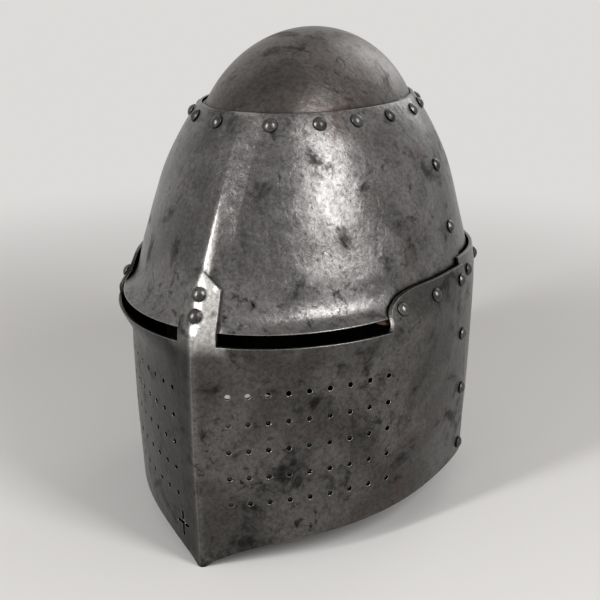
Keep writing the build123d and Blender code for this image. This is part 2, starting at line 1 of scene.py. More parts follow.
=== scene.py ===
import bmesh
import bpy
import json
import math
import numpy as np
from mathutils import Matrix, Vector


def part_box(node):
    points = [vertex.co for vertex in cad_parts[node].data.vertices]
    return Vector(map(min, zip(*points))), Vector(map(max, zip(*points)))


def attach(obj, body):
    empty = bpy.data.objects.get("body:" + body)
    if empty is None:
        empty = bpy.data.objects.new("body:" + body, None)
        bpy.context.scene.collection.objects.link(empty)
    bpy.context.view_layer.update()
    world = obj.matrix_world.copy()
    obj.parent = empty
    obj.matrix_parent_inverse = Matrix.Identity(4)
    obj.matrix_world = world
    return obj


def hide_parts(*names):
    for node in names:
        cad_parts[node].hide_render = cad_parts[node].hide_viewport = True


# A great helm of riveted steel plates, with its leather and linen lining. Metres, +Z up, face along -Y.

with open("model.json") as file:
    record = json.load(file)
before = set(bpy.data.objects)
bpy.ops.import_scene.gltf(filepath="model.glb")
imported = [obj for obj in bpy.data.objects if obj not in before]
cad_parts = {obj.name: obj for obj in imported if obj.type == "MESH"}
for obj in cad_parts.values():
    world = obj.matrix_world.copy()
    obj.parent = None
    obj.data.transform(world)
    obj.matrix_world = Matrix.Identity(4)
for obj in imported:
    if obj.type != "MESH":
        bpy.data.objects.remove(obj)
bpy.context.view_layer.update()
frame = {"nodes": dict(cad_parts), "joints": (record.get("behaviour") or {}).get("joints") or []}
mm = 0.001
print("frame loaded,", len(frame["nodes"]), "nodes")


def toLinear(hexColour):
    # An sRGB hex colour as linear light: the low part of the curve is straight, the rest a power
    parts = [int(hexColour[k:k + 2], 16) / 255 for k in (1, 3, 5)]
    return tuple(p / 12.92 if p <= 0.04045 else ((p + 0.055) / 1.055) ** 2.4 for p in parts) + (1.0,)


def perMetre(size):
    # A pattern's scale, from the real size of its features in millimetres
    return 1 / (size * mm)


def addNode(tree, kind, inputs=None, **settings):
    # Adds a shader node with its settings, and sets or links its inputs by name or number
    made = tree.nodes.new("ShaderNode" + kind)
    for key, value in settings.items():
        setattr(made, key, value)
    for key, value in (inputs or {}).items():
        if isinstance(value, bpy.types.NodeSocket):
            tree.links.new(value, made.inputs[key])
        else:
            made.inputs[key].default_value = value
    return made


def newMaterial(name):
    # An empty material and its node tree
    material = bpy.data.materials.new(name)
    material.use_nodes = True
    material.node_tree.nodes.clear()
    return material, material.node_tree


def patternMasks(tree, place, patterns):
    # Noise of a real size in mm, its contrast stretched between two levels, for each named pattern
    masks = {}
    for key, (size, detail, roughness, warp, low, high) in patterns.items():
        noise = addNode(tree, "TexNoise", {
            "Vector": place, "Scale": perMetre(size), "Detail": detail,
            "Roughness": roughness, "Distortion": warp,
        })
        masks[key] = addNode(tree, "MapRange", {
            "Value": noise.outputs[0], "From Min": low, "From Max": high,
        }, interpolation_type="SMOOTHSTEP").outputs[0]
    return masks


def weakened(tree, masks, shares):
    # The named masks, each held down to its share of full strength
    return {
        key: addNode(tree, "Math", {0: masks[key], 1: share}, operation="MULTIPLY").outputs[0]
        for key, share in shares.items()
    }


def layered(tree, colour, layers):
    # Colours laid over each other, each through its mask
    for mask, tone in layers:
        colour = addNode(tree, "Mix", {0: mask, 6: colour, 7: toLinear(tone)}, data_type="RGBA").outputs[2]
    return colour


def raised(tree, normal, heights):
    # A normal bent by relief, each mask raised by a real height in mm
    for mask, height in heights:
        normal = addNode(tree, "Bump", {
            "Height": mask, "Distance": height * mm, "Normal": normal,
        }).outputs[0]
    return normal


steelLook = {
    "bright": "#686664",      # rubbed steel
    "worn": "#504e4c",        # the plate's usual grey
    "scale": "#1a1919",       # dark forge scale left in patches, also the colour of the painted shade on the wearer's right
    "rust": "#57403a",        # thin rust stain
    "edge": "#9a9894",        # bare metal along edges
    "rubbed": "#e6e4e0",      # bare metal of the keel, partly a painted highlight, and a painted highlight on the nose bar
    "dirtAndShade": "#100f0e",       # dirt in pits, and painted shade with some dirt in corners and round rivets
    "inside": "#0d0c0b",      # painted shade darkening the plate's inside
    "smoothest": 0.29,        # roughness of the rubbed metal
    "roughest": 0.52,         # and of scale and pits
    "patterns": {             # size in mm, detail, roughness, warp, low and high level
        "cloud": (60, 5, 0.58, 0.5, 0.38, 0.62),
        "blotch": (26, 10, 0.70, 0.35, 0.51, 0.68),
        "fleck": (9, 8, 0.74, 0.4, 0.52, 0.68),
        "stain": (48, 9, 0.70, 0.4, 0.56, 0.74),
        "grain": (2.6, 7, 0.75, 0.2, 0.38, 0.66),
        "pit": (2.2, 5, 0.62, 0.0, 0.58, 0.74),
        "hammer": (26, 2, 0.45, 0.2, 0.20, 0.80),
        "wrinkle": (7.5, 7, 0.66, 1.2, 0.30, 0.75),
    },
    "strengths": {"stain": 0.5, "grain": 0.45, "blotch": 0.88, "pit": 0.5},
    "hammerDepth": 0.40,      # mm
    "wrinkleDepth": 0.09,
    "pitDepth": 0.06,
    "edgeRadius": 0.9,        # mm
    "edgeTurn": (0.94, 0.80),       # the cosines of rounding between which bare metal comes to show
    "cornerShadeReach": 6.5,        # mm within which nearby surfaces bring on the painted corner shade
    "cornerShadeLevels": (0.93, 0.56),     # how open a corner is where the painted shade and dirt start and where they are full
    "fullWearAndShade": 0.95,         # edges, and painted shade with dirt, never hide all beneath them
    "keelRadius": 7.0,        # mm
    "keelFade": 1.6,          # radii from the keel where its softness ends
    "keelTurn": (0.985, 0.935),     # the cosines of its bend between which the bright keel comes in
    "keelRubAndHighlight": 0.12,         # how bright the keel's rubbed metal and painted highlight are
    "noseEdge": (22.0, 16.0),       # mm from the keel between which the painted highlight on the nose bar comes in
    "noseFoot": (144.0, 160.0),     # and mm above the ground
    # the strength of the painted highlight on the nose bar
    "noseHighlight": 0.95,
    "leeEdge": (0.5, -3.5),   # mm from the keel between which the painted shade on the wearer's right comes in
    # the strength of that painted shade
    "leeShadeStrength": 0.72,
}
helmMiddle = (0, 0.02, 0.13)  # metres: the plates' insides face this place
insideTurn = (0.0, -0.1)      # a face that looks this way round from the middle counts as the inside


def keelWearAndPaintedLight(tree, look, coordinates, flat, rounded):
    # The ridge down the front is hammered round, not folded sharp, and rubbed bright, partly as a painted
    # highlight;
    # the nose bar gets a painted highlight, and painted shade darkens the side beside the keel on the
    # wearer's right. Gives the normal and the layers
    sideways, _, height = addNode(tree, "SeparateXYZ", {0: coordinates}).outputs
    aside = addNode(tree, "Math", {0: sideways}, operation="ABSOLUTE").outputs[0]
    radius = look["keelRadius"] * mm
    ridge = addNode(tree, "MapRange", {
        "Value": aside, "From Min": look["keelFade"] * radius, "From Max": radius,
    }).outputs[0]
    soft = addNode(tree, "Bevel", {"Radius": radius}, samples=8).outputs[0]
    bend = addNode(tree, "VectorMath", {0: soft, 1: flat}, operation="DOT_PRODUCT").outputs["Value"]
    # Rubbed bare metal along the keel, partly a painted highlight
    rubAndHighlight = addNode(tree, "MapRange", {
        "Value": bend, "From Min": look["keelTurn"][0], "From Max": look["keelTurn"][1],
        "To Max": look["keelRubAndHighlight"],
    }, interpolation_type="SMOOTHSTEP").outputs[0]
    rubAndHighlight = addNode(tree, "Math", {0: rubAndHighlight, 1: ridge}, operation="MULTIPLY").outputs[0]
    # Masks for a painted highlight on the nose bar and for painted shade on the wearer's right of the keel
    nose, above, leeShade = (
        addNode(tree, "MapRange", {
            "Value": value, "From Min": look[edges][0] * mm, "From Max": look[edges][1] * mm,
            "To Max": most,
        }, interpolation_type="SMOOTHSTEP").outputs[0]
        for value, edges, most in (
            (aside, "noseEdge", look["noseHighlight"]),
            (height, "noseFoot", 1.0),
            (sideways, "leeEdge", look["leeShadeStrength"]),
        )
    )
    nose = addNode(tree, "Math", {0: nose, 1: above}, operation="MULTIPLY").outputs[0]
    rounded = addNode(tree, "Mix", {0: ridge, 4: rounded, 5: soft}, data_type="VECTOR").outputs[1]
    return rounded, [(rubAndHighlight, look["rubbed"]), (nose, look["rubbed"]), (leeShade, look["scale"])]


def insideMask(tree, coordinates, flat):
    # One where a face looks towards the helm's middle: the way out from the middle, against the face's own
    away = addNode(tree, "VectorMath", {0: coordinates, 1: helmMiddle}, operation="SUBTRACT").outputs[0]
    away = addNode(tree, "VectorMath", {0: away}, operation="NORMALIZE").outputs[0]
    facing = addNode(tree, "VectorMath", {0: away, 1: flat}, operation="DOT_PRODUCT").outputs["Value"]
    return addNode(tree, "MapRange", {
        "Value": facing, "From Min": insideTurn[0], "From Max": insideTurn[1],
    }).outputs[0]


def agedSteel(name, look, shift, relief=1.0, keeled=False, shell=True):
    # Hammered and blackened plate, rubbed with oil and worn again: grey metal whose soft shine is broken by
    # dark scale, pits, thin rust and bare bright edges; dirt and painted shade darken its corners, painted
    # shade its inside
    material, tree = newMaterial(name)
    coordinates = addNode(tree, "TexCoord").outputs["Object"]
    place = addNode(tree, "Mapping", {"Vector": coordinates, "Location": shift}).outputs[0]
    masks = patternMasks(tree, place, look["patterns"])
    weak = weakened(tree, masks, look["strengths"])
    flecks = addNode(tree, "Math", {0: masks["fleck"], 1: masks["cloud"]}, operation="MULTIPLY").outputs[0]
    flat = addNode(tree, "NewGeometry").outputs["Normal"]
    rounded = addNode(tree, "Bevel", {"Radius": look["edgeRadius"] * mm}, samples=6).outputs[0]
    turn = addNode(tree, "VectorMath", {0: rounded, 1: flat}, operation="DOT_PRODUCT").outputs["Value"]
    # Painted shade, with some dirt: the AO node darkens corners, the ground round rivets and the gaps
    # between plates
    reach = look["cornerShadeReach"] * mm
    shade = addNode(tree, "AmbientOcclusion", {"Distance": reach}, samples=8).outputs["AO"]
    edge, dirtAndShade = (
        addNode(tree, "MapRange", {
            "Value": value, "From Min": levels[0], "From Max": levels[1], "To Max": look["fullWearAndShade"],
        }, interpolation_type="SMOOTHSTEP").outputs[0]
        for value, levels in ((turn, look["edgeTurn"]), (shade, look["cornerShadeLevels"]))
    )
    keelLayers = []
    if keeled:
        rounded, keelLayers = keelWearAndPaintedLight(tree, look, coordinates, flat, rounded)
    layers = [
        (masks["cloud"], look["bright"]),
        (weak["stain"], look["rust"]),
        *keelLayers,
        (weak["grain"], look["scale"]),
        (weak["blotch"], look["scale"]),
        (flecks, look["scale"]),
        (weak["pit"], look["dirtAndShade"]),
        (edge, look["edge"]),
        (dirtAndShade, look["dirtAndShade"]),
    ]
    # Painted shade: faces that look towards the helm's middle take the dark inside colour
    if shell:
        layers.append((insideMask(tree, coordinates, flat), look["inside"]))
    colour = layered(tree, toLinear(look["worn"]), layers)
    dull = addNode(tree, "Math", {0: masks["blotch"], 1: masks["pit"]}, operation="MAXIMUM").outputs[0]
    roughness = addNode(tree, "MapRange", {
        "Value": dull, "To Min": look["smoothest"], "To Max": look["roughest"],
    }).outputs[0]
    normal = raised(tree, rounded, [
        (masks["hammer"], look["hammerDepth"] * relief),
        (masks["wrinkle"], look["wrinkleDepth"] * relief),
        (masks["pit"], -look["pitDepth"] * relief),
    ])
    shader = addNode(tree, "BsdfPrincipled", {
        "Base Color": colour, "Metallic": 1.0, "Roughness": roughness, "Normal": normal,
    })
    addNode(tree, "OutputMaterial", {"Surface": shader.outputs[0]})
    return material


def dress(nodes, material):
    # Gives CAD nodes a finish through their objects' material slots
    for name in nodes:
        for held in frame["nodes"][name].material_slots:
            held.link = "OBJECT"
            held.material = material


skullLook = dict(steelLook, bright="#7c7a79", worn="#605e5d", smoothest=0.31,
                 keelRubAndHighlight=0.9, noseHighlight=0.0, leeShadeStrength=0.08)
crownLook = dict(steelLook, bright="#676260", worn="#524e4b", smoothest=0.34, roughest=0.50)
ironLook = dict(steelLook, edgeRadius=0.5)
plates = {                    # each plate's look, its pattern's shift in metres, and if it has the keel
    "front_skull_plate": (skullLook, (0.31, 0.12, 0.05), True),
    "rear_skull_plate": (steelLook, (1.27, 0.44, 0.31), False),
    "crown_plate": (crownLook, (0.83, 2.10, 0.66), False),
    "face_plate": (steelLook, (2.05, 0.77, 1.12), True),
    "neck_plate": (steelLook, (0.02, 1.61, 2.33), False),
}
for plateName, (look, shift, keeled) in plates.items():
    words = plateName.split("_")
    steelName = words[0] + "".join(word.capitalize() for word in words[1:]) + "Steel"
    dress([plateName], agedSteel(steelName, look, shift, keeled=keeled))

rivetNodes = [name for name in frame["nodes"] if name.endswith("_rivets")]
dress(rivetNodes, agedSteel("rivetIron", ironLook, (0.5, 0.2, 0.9), relief=0.5, shell=False))
buckleNodes = ["buckle_frame", "buckle_prong"]
dress(buckleNodes, agedSteel("buckleIron", ironLook, (0.1, 0.7, 0.4), relief=0.4, shell=False))
print("plates and rivets dressed")


def nodeMesh(name):
    # A CAD node's points, and its triangles as rows of three point numbers
    mesh = frame["nodes"][name].data
    points = np.zeros(len(mesh.vertices) * 3, np.float32)
    mesh.vertices.foreach_get("co", points)
    mesh.calc_loop_triangles()
    corners = np.zeros(len(mesh.loop_triangles) * 3, np.int32)
    mesh.loop_triangles.foreach_get("vertices", corners)
    return points.reshape(-1, 3).astype(float), corners.reshape(-1, 3)


rays = {"batch": 240, "flattest": 1e-15, "rim": 1e-5}    # rays solved at once, and the two tolerances


def castRays(name, origins, directions):
    # How far along each ray it first and last meets a CAD node. Every ray is solved against every
    # triangle at once, as a mix of the triangle's two edges and the ray's own direction
    points, triangles = nodeMesh(name)
    corner = points[triangles[:, 0]]
    edgeOne, edgeTwo = points[triangles[:, 1]] - corner, points[triangles[:, 2]] - corner
    first, last = [], []
    for start in range(0, len(origins), rays["batch"]):
        some = slice(start, start + rays["batch"])
        origin, direction = origins[some, None], directions[some, None]
        across = np.cross(direction, edgeTwo[None])
        steep = np.einsum("rtk,tk->rt", across, edgeOne)
        steep[np.abs(steep) < rays["flattest"]] = np.nan
        away = origin - corner[None]
        u = np.einsum("rtk,rtk->rt", away, across) / steep
        turned = np.cross(away, edgeOne[None])
        v = np.einsum("rtk,rk->rt", turned, direction[:, 0]) / steep
        reach = np.einsum("rtk,tk->rt", turned, edgeTwo) / steep
        inside = (u > -rays["rim"]) & (v > -rays["rim"]) & (u + v < 1 + rays["rim"]) & (reach > 0)
        first.append(np.where(inside, reach, np.inf).min(1))
        last.append(np.where(inside, reach, -np.inf).max(1))
    first, last = np.concatenate(first), np.concatenate(last)
    if not np.isfinite(first).all():
        raise ValueError(f"{np.isinf(first).sum()} rays miss {name}")
    return first, last


def sectionAcross(count, power):
    # A closed flat section from -1 to 1 across and through: half its thickness at a place across is
    # the superellipse's, and the places crowd towards its two sides
    side = np.sin(np.linspace(math.pi / 2, -math.pi / 2, count))
    half = np.clip(1 - np.abs(side) ** power, 0, 1) ** (1 / power)
    return np.concatenate([side, side[::-1][1:]]), np.concatenate([half, -half[::-1][1:]])


def endTaper(count, power):
    # Places from -1 to 1 along a piece, crowded towards its ends, and how thick it still is there: the
    # superellipse's height
    along = np.sin(np.linspace(-math.pi / 2, math.pi / 2, count))
    return along, np.clip(1 - np.abs(along) ** power, 0, 1) ** (1 / power)


mergedWithin = 2e-6           # metres: points nearer than this are one


def makePiece(name, points, uv, material, replaced=()):
    # A closed piece from one or more grids of points: the grid's sides meet, or its ends close on
    # themselves, and points that meet are merged
    patches, rows, columns = points.shape[:3]
    corner = np.arange(rows - 1)[:, None] * columns + np.arange(columns - 1)
    cells = np.stack([corner, corner + 1, corner + columns + 1, corner + columns], -1).reshape(-1, 4)
    faces = (cells + np.arange(patches)[:, None, None] * rows * columns).reshape(-1, 4)
    mesh = bpy.data.meshes.new(name)
    mesh.from_pydata(points.reshape(-1, 3).tolist(), [], faces.tolist())
    layer = mesh.uv_layers.new(name="surface")
    layer.data.foreach_set("uv", uv.reshape(-1, 2)[faces.ravel()].astype(np.float32).ravel())
    built = bmesh.new()
    built.from_mesh(mesh)
    bmesh.ops.remove_doubles(built, verts=built.verts, dist=mergedWithin)
    bmesh.ops.recalc_face_normals(built, faces=built.faces)
    built.to_mesh(mesh)
    built.free()
    mesh.shade_smooth()
    mesh.materials.append(material)
    piece = bpy.data.objects.new(name, mesh)
    bpy.context.scene.collection.objects.link(piece)
    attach(piece, "helm")
    if replaced:
        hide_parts(*replaced)
    return piece


leatherLook = {
    "tan": "#4a3122",         # tanned hide
    "dark": "#271810",        # oil and sweat
    "pale": "#6b4b34",        # rubbed places
    "patterns": {             # size in mm, detail, roughness, warp, low and high level
        "handled": (32, 5, 0.60, 0.6, 0.42, 0.66),
        "rubbed": (13, 6, 0.66, 0.8, 0.54, 0.70),
        "crease": (5.5, 5, 0.60, 2.0, 0.35, 0.70),
    },
    "strengths": {"rubbed": 0.6},
    "pore": 1.3,              # mm, coarser than real pores, so that they show
    "creaseDepth": 0.25,      # mm
    "poreDepth": 0.12,
    "edgeRadius": 0.6,
    "dry": 0.66,              # roughness where it is dry, and where hands have oiled it
    "oiled": 0.48,
}


def oakTannedLeather(name, look):
    # Hide curried with oil: a warm dull brown, darker where it was handled, with fine pores
    material, tree = newMaterial(name)
    place = addNode(tree, "TexCoord").outputs["Object"]
    masks = patternMasks(tree, place, look["patterns"])
    weak = weakened(tree, masks, look["strengths"])
    pores = addNode(tree, "TexVoronoi", {
        "Vector": place, "Scale": perMetre(look["pore"]),
    }).outputs["Distance"]
    colour = layered(tree, toLinear(look["tan"]), [
        (masks["handled"], look["dark"]), (weak["rubbed"], look["pale"]),
    ])
    normal = addNode(tree, "Bevel", {"Radius": look["edgeRadius"] * mm}, samples=4).outputs[0]
    normal = raised(tree, normal, [(masks["crease"], look["creaseDepth"]), (pores, look["poreDepth"])])
    roughness = addNode(tree, "MapRange", {
        "Value": masks["handled"], "To Min": look["dry"], "To Max": look["oiled"],
    }).outputs[0]
    shader = addNode(tree, "BsdfPrincipled", {
        "Base Color": colour, "Roughness": roughness, "Normal": normal, "IOR": 1.5,
    })
    addNode(tree, "OutputMaterial", {"Surface": shader.outputs[0]})
    return material


linenLook = {
    "cloth": "#a8977a",       # unbleached linen
    "soiled": "#6f5d45",      # sweat and oil
    "gap": "#4b3f30",         # shadow between threads
    "thread": 1.2,            # thread spacing in mm, coarser than real so that it shows
    "threadDepth": 0.3,       # mm
    "unevenness": 0.4,        # how far the threads wander
    "gapLevels": (0.55, 0.15),      # thread heights between which the shadow deepens
    "gapDark": 0.7,
    "patterns": {             # size in mm, detail, roughness, warp, low and high level
        "soil": (42, 6, 0.62, 0.6, 0.44, 0.68),
        "slub": (5, 4, 0.60, 0.4, 0.40, 0.72),
    },
    "strengths": {"soil": 0.7, "slub": 0.35},
    "roughness": 0.92,
    "fuzz": 0.25,             # loose fibres' sheen
}


def wovenLinen(name, look):
    # Plain woven cloth: threads over and under each other, dry and matt, soiled where the head lay
    material, tree = newMaterial(name)
    surface = addNode(tree, "UVMap", uv_map="surface").outputs[0]
    place = addNode(tree, "TexCoord").outputs["Object"]
    masks = patternMasks(tree, place, look["patterns"])
    weak = weakened(tree, masks, look["strengths"])
    # A wave node's bands repeat every pi / 10 of a unit at a scale of one, and a pair of threads is a band
    bands = math.pi / 10 * perMetre(look["thread"]) / 2
    weft, warp = (
        addNode(tree, "TexWave", {"Vector": surface, "Scale": bands, "Distortion": look["unevenness"]},
                bands_direction=direction).outputs[1]
        for direction in "XY"
    )
    over = addNode(tree, "Math", {0: weft, 1: warp}, operation="MAXIMUM").outputs[0]
    gaps = addNode(tree, "MapRange", {
        "Value": over, "From Min": look["gapLevels"][0], "From Max": look["gapLevels"][1],
        "To Max": look["gapDark"],
    }).outputs[0]
    colour = layered(tree, toLinear(look["cloth"]), [
        (weak["slub"], look["soiled"]), (weak["soil"], look["soiled"]), (gaps, look["gap"]),
    ])
    normal = addNode(tree, "NewGeometry").outputs["Normal"]
    normal = raised(tree, normal, [(over, look["threadDepth"]), (masks["slub"], look["threadDepth"])])
    shader = addNode(tree, "BsdfPrincipled", {
        "Base Color": colour, "Roughness": look["roughness"], "Sheen Weight": look["fuzz"],
        "Normal": normal,
    })
    addNode(tree, "OutputMaterial", {"Surface": shader.outputs[0]})
    return material


bandLeather = oakTannedLeather("bandLeather", leatherLook)
strapLeather = oakTannedLeather("strapLeather", dict(leatherLook, tan="#3e281a", dark="#20140d"))
quiltLinen = wovenLinen("quiltLinen", linenLook)
waxedThread = wovenLinen("waxedThread", dict(linenLook, cloth="#c2b08c"))

patchLow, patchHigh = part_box("crown_patch")
axisY = (patchLow.y + patchHigh.y) / 2        # the lining is laid out round this upright axis


def outwards(turns, side=1):
    # Level directions out of the axis, turned round from the brow
    return np.stack([side * np.sin(turns), -np.cos(turns), 0 * turns], -1)


def onAxis(heights):
    # Points of the axis at these heights
    return np.stack([0 * heights, axisY + 0 * heights, heights], -1)


def fromAxis(turns, heights, reach, side=1):
    # Points at a height and a reach from the axis
    return outwards(turns, side) * reach[..., None] + onAxis(heights)


def wallReach(name, turns, heights, side=1):
    # How far the inside and the outside of a lining piece are from the axis
    shape = np.broadcast(turns, heights).shape
    turns, heights = np.broadcast_to(turns, shape).ravel(), np.broadcast_to(heights, shape).ravel()
    first, last = castRays(name, onAxis(heights), outwards(turns, side))
    return first.reshape(shape), last.reshape(shape)


lobeShape = {
    "order": ("brow", "temple", "ear", "nape"),
    "sweep": 45.0,            # degrees round for each lobe
    "rows": 45,
    "across": 45,
    "measured": 4,            # the wall is measured at every fourth row and column
    "squareness": 3.6,        # of the lobe's section
    "endSquareness": 7,
    "channels": 3,            # stuffed channels, parted by rows of stitches
    "seamDepth": 0.55,        # how far a row of stitches draws the wall in
    "seamWidth": 3.4,         # mm
    "sideRoom": 1.7,          # mm
    "endRoom": 0.5,           # mm
}


def filledIn(wall, rows, allRows, columns, allColumns):
    # A wall measured at some rows and columns, read off between them at all of them
    wall = np.stack([np.interp(allRows, rows, line) for line in wall.T], 1)
    return np.stack([np.interp(allColumns, columns, line) for line in wall])


def quiltedLobe(name, side, number):
    # A stuffed lobe: its reach from the axis is the middle of the CAD wall, plus or minus half the
    # wall's thickness, rounded at its sides and ends and drawn in by a bell curve at each row of stitches
    low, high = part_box(name)
    along, taper = endTaper(lobeShape["rows"], lobeShape["endSquareness"])
    heights = (low.z + high.z) / 2 + along * ((high.z - low.z) / 2 - lobeShape["endRoom"] * mm)
    middle = math.radians(lobeShape["sweep"] * (number + 0.5))
    some = slice(None, None, lobeShape["measured"])
    innerMiddle = wallReach(name, np.full(heights[some].shape, middle), heights[some], side)[0]
    innerMiddle = np.interp(heights, heights[some], innerMiddle)
    halfSweep = math.radians(lobeShape["sweep"] / 2) - lobeShape["sideRoom"] * mm / innerMiddle
    across, through = sectionAcross(lobeShape["across"], lobeShape["squareness"])
    count = lobeShape["across"]
    turns = middle + halfSweep[:, None] * across[:count]
    inner, outer = (
        filledIn(wall, heights[some], heights, -across[:count][some], -across[:count])
        for wall in wallReach(name, turns[some, some], heights[some, None], side)
    )
    reach, half = (inner + outer) / 2, (outer - inner) / 2
    back = np.concatenate([np.arange(count), np.arange(count - 1)[::-1]])   # the section's way home
    reach, half, turns = reach[:, back], half[:, back], turns[:, back]
    seams = np.linspace(-1, 1, lobeShape["channels"] + 1)[1:-1]
    arc = halfSweep[:, None] * reach
    drawn = np.ones(reach.shape)
    for seam in seams:
        off = (across - seam) * arc / (lobeShape["seamWidth"] * mm)
        drawn *= 1 - lobeShape["seamDepth"] * np.exp(-off ** 2)
    swollen = reach + through * half * drawn * taper[:, None]
    points = fromAxis(turns, heights[:, None] + 0 * turns, swollen, side)
    uv = np.stack([across * arc, heights[:, None] + 0 * arc], -1)
    quilted = name.replace("liner_", "quilted_")
    piece = makePiece(quilted, points[None], uv[None], quiltLinen, [name])


threadShape = {               # mm, and how many points a stitch and its ring have
    "length": 4.2,
    "pitch": 6.4,
    "radius": 0.42,
    "rise": 0.35,
    "fullness": 0.35,         # the power by which a stitch keeps its thickness towards its ends
    "steps": 7,
    "sides": 7,
}


def stitchRow(name, centres, along, outward, material):
    # Stitches, all at once: a line that leaves the surface and goes back in along half an ellipse,
    # with a ring of thread round each of its points that closes at both ends
    sweep = np.linspace(0, math.pi, threadShape["steps"])
    ring = np.linspace(0, 2 * math.pi, threadShape["sides"])
    thick = threadShape["radius"] * mm * np.clip(np.sin(sweep), 0, 1) ** threadShape["fullness"]
    thick[[0, -1]] = 0
    run = -np.cos(sweep) * threadShape["length"] * mm / 2
    lift = np.sin(sweep) * threadShape["rise"] * mm
    sideways = np.cross(along, outward)
    lifted = lift[:, None] + thick[:, None] * np.cos(ring)
    spread = thick[:, None] * np.sin(ring)
    points = (
        centres[:, None, None]
        + along[:, None, None] * run[:, None, None]
        + outward[:, None, None] * lifted[..., None]
        + sideways[:, None, None] * spread[..., None]
    )
    uv = np.stack([run[:, None] + 0 * spread, ring * threadShape["radius"] * mm + 0 * spread], -1)
    makePiece(name, points, np.broadcast_to(uv, points.shape[:3] + (2,)), material)


bandShape = {
    "around": 240,            # points round it, and across its section
    "across": 15,
    "squareness": 9,
    "topRoom": 1.4,           # mm from an edge to where the wall is measured
    "footRoom": 3.2,
    "browFoot": 162.8,        # mm: the band is narrower over the sights
    "browEnd": -80.0,         # mm: between these places it widens
    "templeStart": -63.0,
    "topStitch": 3.6,         # mm below the top edge
    "footStitch": 3.0,
}


def evenStitches(line):
    # Places at even steps along a closed line, and the way that it runs there
    steps = np.concatenate([[0], np.cumsum(np.linalg.norm(np.diff(line, axis=0), axis=1))])
    count = int(steps[-1] / (threadShape["pitch"] * mm))
    at = np.arange(count) * steps[-1] / count
    place, ahead = (
        np.stack([np.interp((at + off) % steps[-1], steps, line[:, k]) for k in range(3)], -1)
        for off in (0, mm)
    )
    return place, (ahead - place) / np.linalg.norm(ahead - place, axis=1)[:, None]


def linerBand():
    # A leather strip round the skull: a flat section across its height, carried round the axis
    low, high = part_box("liner_band")
    turns = np.linspace(0, 2 * math.pi, bandShape["around"] + 1)
    topRoom, footRoom = bandShape["topRoom"] * mm, bandShape["footRoom"] * mm
    innerTop, outerTop = wallReach("liner_band", turns, np.full(turns.shape, high.z - topRoom))
    wallY = axisY - np.cos(turns) * outerTop
    foot = np.interp(wallY, [bandShape["browEnd"] * mm, bandShape["templeStart"] * mm],
                     [bandShape["browFoot"] * mm, low.z])
    innerFoot, outerFoot = wallReach("liner_band", turns, foot + footRoom)
    across, through = sectionAcross(bandShape["across"], bandShape["squareness"])
    heights = (foot[:, None] + high.z) / 2 + across * (high.z - foot[:, None]) / 2
    share = (heights - foot[:, None] - footRoom) / (high.z - foot[:, None] - footRoom - topRoom)
    middle = (innerFoot + outerFoot)[:, None] / 2 * (1 - share) + (innerTop + outerTop)[:, None] / 2 * share
    half = (outerTop - innerTop)[:, None] / 2
    turnsThere = turns[:, None] + 0 * heights
    points = fromAxis(turnsThere, heights, middle + through * half)
    uv = np.stack([turnsThere * middle, heights], -1)
    makePiece("stitched_liner_band", points[None], uv[None], bandLeather, ["liner_band"])
    rows = {
        "top": high.z - bandShape["topStitch"] * mm + 0 * turns,
        "foot": foot + bandShape["footStitch"] * mm,
    }
    for row, lineHeights in rows.items():
        rise = (lineHeights - foot - footRoom) / (high.z - foot - footRoom - topRoom)
        line = fromAxis(turns, lineHeights, innerFoot * (1 - rise) + innerTop * rise)
        place, along = evenStitches(line)
        inward = np.cross(along, (0, 0, 1))
        inward *= np.sign(((np.array((0, axisY, 0)) - place) * inward).sum(1))[:, None]
        stitchRow(f"band_{row}_stitches", place, along, inward, waxedThread)


linerBand()
for sideName, side in (("left", 1), ("right", -1)):
    for number, lobeName in enumerate(lobeShape["order"]):
        quiltedLobe(f"liner_lobe_{lobeName}_{sideName}", side, number)
print("liner band and lobes made")


patchShape = {
    "around": 96,             # points round it, and from its middle to its rim
    "across": 25,
    "squareness": 8,
    "rise": 2.5,              # mm
    "stitchLine": 0.88,       # share of the way to the rim
}


def crownPatch():
    # An oval of leather, rising a little to its middle: its section runs out along the top to the
    # rim and home along the underside, at every angle round
    centre, half = (patchLow + patchHigh) / 2, (patchHigh - patchLow) / 2
    turns = np.linspace(0, 2 * math.pi, patchShape["around"] + 1)[:, None]
    out = np.sin(np.linspace(0, math.pi / 2, patchShape["across"]))
    thick = np.clip(1 - out ** patchShape["squareness"], 0, 1) ** (1 / patchShape["squareness"])
    out, thick = np.concatenate([out, out[::-1][1:]]), np.concatenate([thick, -thick[::-1][1:]])
    points = np.stack([
        centre.x + half.x * out * np.sin(turns),
        centre.y - half.y * out * np.cos(turns),
        centre.z + half.z * thick + patchShape["rise"] * mm * (1 - out ** 2) + 0 * turns,
    ], -1)
    uv = points[..., :2]
    makePiece("domed_crown_patch", points[None], uv[None], bandLeather, ["crown_patch"])
    run = 2 * math.pi * (half.x + half.y) / 2 * patchShape["stitchLine"]
    at = np.linspace(0, 2 * math.pi, int(run / (threadShape["pitch"] * mm)), endpoint=False)
    low = centre.z - half.z + patchShape["rise"] * mm * (1 - patchShape["stitchLine"] ** 2)
    line = np.stack([
        centre.x + half.x * patchShape["stitchLine"] * np.sin(at),
        centre.y - half.y * patchShape["stitchLine"] * np.cos(at),
        low + 0 * at,
    ], -1)
    along = np.stack([half.x * np.cos(at), half.y * np.sin(at), 0 * at], -1)
    along /= np.linalg.norm(along, axis=1)[:, None]
    down = np.broadcast_to(np.array((0.0, 0.0, -1.0)), line.shape)
    stitchRow("patch_stitches", line, along, down, waxedThread)


crownPatch()
print("crown patch made")


